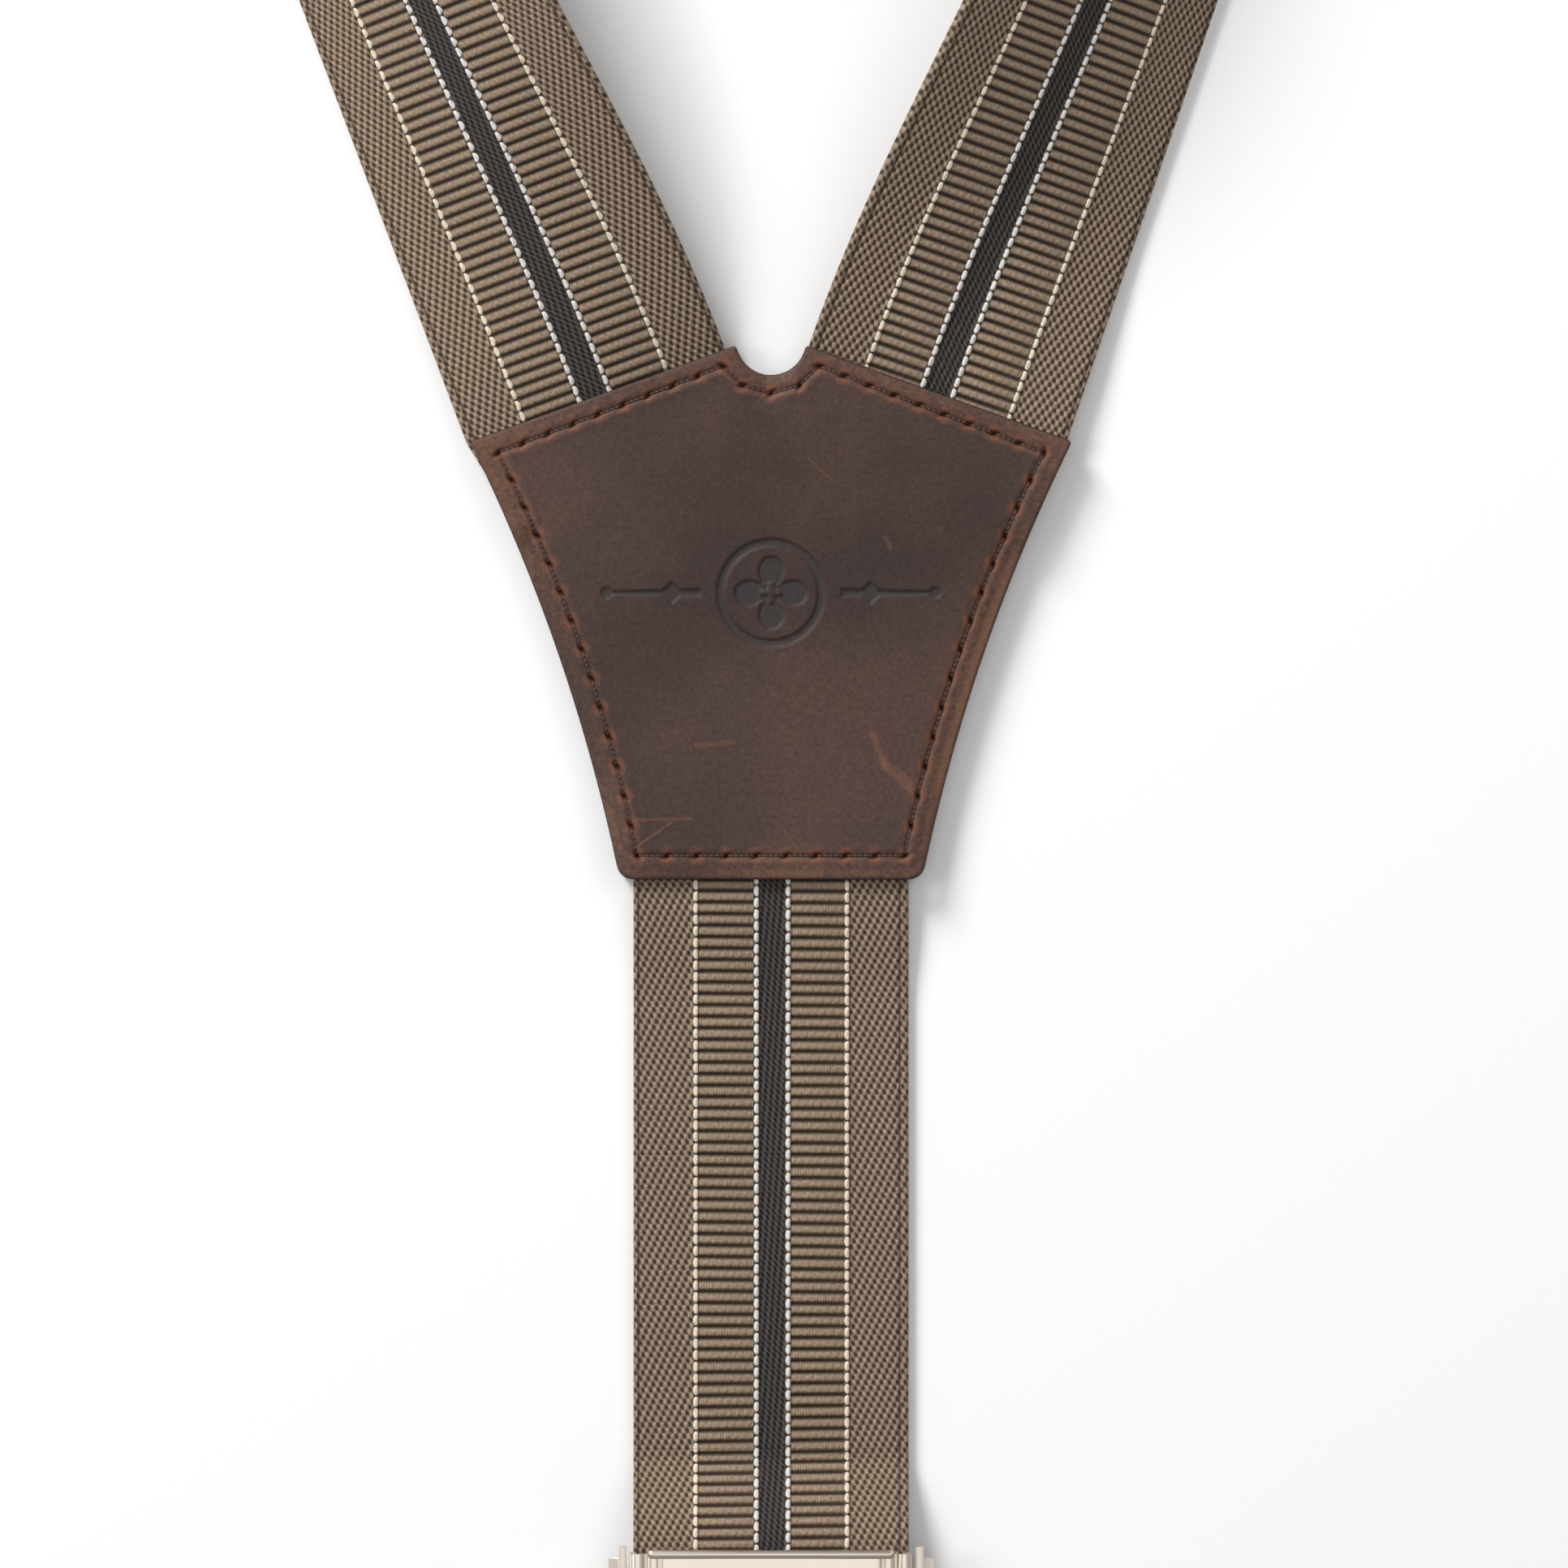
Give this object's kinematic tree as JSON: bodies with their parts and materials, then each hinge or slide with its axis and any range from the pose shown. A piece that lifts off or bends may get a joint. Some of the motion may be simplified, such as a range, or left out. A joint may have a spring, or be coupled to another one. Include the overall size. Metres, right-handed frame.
{
  "type": "y-back clip-on suspenders",
  "caption": "Elastic webbing suspenders: a leather yoke joins two front straps and one back strap, with sliding adjusters and lever clips at the ends.",
  "frame": {"origin": "centre of the yoke's back face, on the plane the suspenders lie on", "axes": "+Z out of the face side, +Y from the back clip towards the front straps, +X to the right seen from the face side"},
  "size_m": [0.625, 0.9677, 0.0229],
  "materials": {
    "leather": "waxed pull-up leather, burnished edges",
    "board": "bonded leather board",
    "webbing": "ribbed elastic webbing, matt",
    "thread": "waxed thread",
    "nickel": "warm bright nickel plate",
    "jaw_pad": "ribbed grip pad, matt"
  },
  "bodies": {
    "yoke": {"yoke_front_leather": "leather", "yoke_back_leather": "leather", "yoke_stiffener": "board", "yoke_stitching": "thread"},
    "back_strap": {"back_strap": "webbing"},
    "back_loop": {"back_loop": "webbing", "back_loop_stitching": "thread"},
    "back_clip": {"back_clip_base": "nickel", "back_clip_pin": "nickel", "back_clip_bar": "nickel", "back_clip_base_pad": "jaw_pad"},
    "back_clip_lever": {"back_clip_lever": "nickel", "back_clip_lever_pad": "jaw_pad"},
    "strap_upper_left": {"front_strap_upper_left": "webbing"},
    "strap_lower_left": {"front_strap_lower_left": "webbing"},
    "adjuster_left": {"adjuster_frame_left": "nickel", "adjuster_pin_left": "nickel", "strap_end_left": "webbing", "strap_end_stitching_left": "thread"},
    "adjuster_lever_left": {"adjuster_lever_left": "nickel"},
    "clip_loop_left": {"clip_loop_left": "webbing"},
    "clip_left": {"left_clip_base": "nickel", "left_clip_pin": "nickel", "left_clip_bar": "nickel", "left_clip_base_pad": "jaw_pad"},
    "clip_lever_left": {"left_clip_lever": "nickel", "left_clip_lever_pad": "jaw_pad"},
    "strap_upper_right": {"front_strap_upper_right": "webbing"},
    "strap_lower_right": {"front_strap_lower_right": "webbing"},
    "adjuster_right": {"adjuster_frame_right": "nickel", "adjuster_pin_right": "nickel", "strap_end_right": "webbing", "strap_end_stitching_right": "thread"},
    "adjuster_lever_right": {"adjuster_lever_right": "nickel"},
    "clip_loop_right": {"clip_loop_right": "webbing"},
    "clip_right": {"right_clip_base": "nickel", "right_clip_pin": "nickel", "right_clip_bar": "nickel", "right_clip_base_pad": "jaw_pad"},
    "clip_lever_right": {"right_clip_lever": "nickel", "right_clip_lever_pad": "jaw_pad"}
  },
  "joints": [
    {"name": "back_strap_fold", "type": "hinge", "parent": "yoke", "child": "back_strap", "pos_m": [0, -0.035, 0.0021], "axis": [1, 0, 0], "range_deg": [-80, 80]},
    {"name": "back_stretch", "type": "slide", "parent": "back_strap", "child": "back_loop", "axis": [0, -1, 0], "range_m": [0, 0.03], "stiffness_N_per_m": 440, "deforming": ["back_strap"]},
    {"name": "back_clip_swing", "type": "hinge", "parent": "back_loop", "child": "back_clip", "pos_m": [0, -0.1316, 0.0045], "axis": [1, 0, 0], "range_deg": [-5, 75], "deforming": ["back_loop"]},
    {"name": "back_clip_open", "type": "hinge", "parent": "back_clip", "child": "back_clip_lever", "pos_m": [0, -0.1586, 0.0074], "axis": [1, 0, 0], "range_deg": [0, 80]},
    {"name": "strap_fold_left", "type": "hinge", "parent": "yoke", "child": "strap_upper_left", "pos_m": [-0.02295, 0.02833, 0.0021], "axis": [0.9361, 0.3518, 0], "range_deg": [-80, 80]},
    {"name": "strap_stretch_left", "type": "slide", "parent": "strap_upper_left", "child": "strap_lower_left", "axis": [-0.3518, 0.9361, 0], "range_m": [0, 0.15], "stiffness_N_per_m": 60, "deforming": ["front_strap_upper_left"]},
    {"name": "adjuster_slide_left", "type": "slide", "parent": "strap_lower_left", "child": "adjuster_left", "axis": [-0.3518, 0.9361, 0], "range_m": [-0.12, 0.08], "deforming": ["front_strap_lower_left", "strap_end_left"]},
    {"name": "adjuster_open_left", "type": "hinge", "parent": "adjuster_left", "child": "adjuster_lever_left", "pos_m": [-0.21717, 0.54504, 0.0062], "axis": [0.9361, 0.3518, 0], "range_deg": [0, 80]},
    {"name": "clip_take_up_left", "type": "slide", "parent": "adjuster_left", "child": "clip_loop_left", "axis": [-0.3518, 0.9361, 0], "range_m": [-0.04, 0.06], "deforming": ["clip_loop_left"]},
    {"name": "clip_swing_left", "type": "hinge", "parent": "clip_loop_left", "child": "clip_left", "pos_m": [-0.29563, 0.75378, 0.0045], "axis": [-0.9361, -0.3518, 0], "range_deg": [-5, 75]},
    {"name": "clip_open_left", "type": "hinge", "parent": "clip_left", "child": "clip_lever_left", "pos_m": [-0.30513, 0.77905, 0.0074], "axis": [-0.9361, -0.3518, 0], "range_deg": [0, 80]},
    {"name": "strap_fold_right", "type": "hinge", "parent": "yoke", "child": "strap_upper_right", "pos_m": [0.02156, 0.0278, 0.0021], "axis": [0.9466, -0.3223, 0], "range_deg": [-80, 80]},
    {"name": "strap_stretch_right", "type": "slide", "parent": "strap_upper_right", "child": "strap_lower_right", "axis": [0.3223, 0.9466, 0], "range_m": [0, 0.15], "stiffness_N_per_m": 60, "deforming": ["front_strap_upper_right"]},
    {"name": "adjuster_slide_right", "type": "slide", "parent": "strap_lower_right", "child": "adjuster_right", "axis": [0.3223, 0.9466, 0], "range_m": [-0.12, 0.08], "deforming": ["front_strap_lower_right", "strap_end_right"]},
    {"name": "adjuster_open_right", "type": "hinge", "parent": "adjuster_right", "child": "adjuster_lever_right", "pos_m": [0.19945, 0.55035, 0.0062], "axis": [0.9466, -0.3223, 0], "range_deg": [0, 80]},
    {"name": "clip_take_up_right", "type": "slide", "parent": "adjuster_right", "child": "clip_loop_right", "axis": [0.3223, 0.9466, 0], "range_m": [-0.04, 0.06], "deforming": ["clip_loop_right"]},
    {"name": "clip_swing_right", "type": "hinge", "parent": "clip_loop_right", "child": "clip_right", "pos_m": [0.27132, 0.76145, 0.0045], "axis": [-0.9466, 0.3223, 0], "range_deg": [-5, 75]},
    {"name": "clip_open_right", "type": "hinge", "parent": "clip_right", "child": "clip_lever_right", "pos_m": [0.28002, 0.78701, 0.0074], "axis": [-0.9466, 0.3223, 0], "range_deg": [0, 80]}
  ],
  "couplings": [
    {"joint": "clip_take_up_left", "follows": "adjuster_slide_left", "ratio": -0.5},
    {"joint": "clip_take_up_right", "follows": "adjuster_slide_right", "ratio": -0.5}
  ]
}
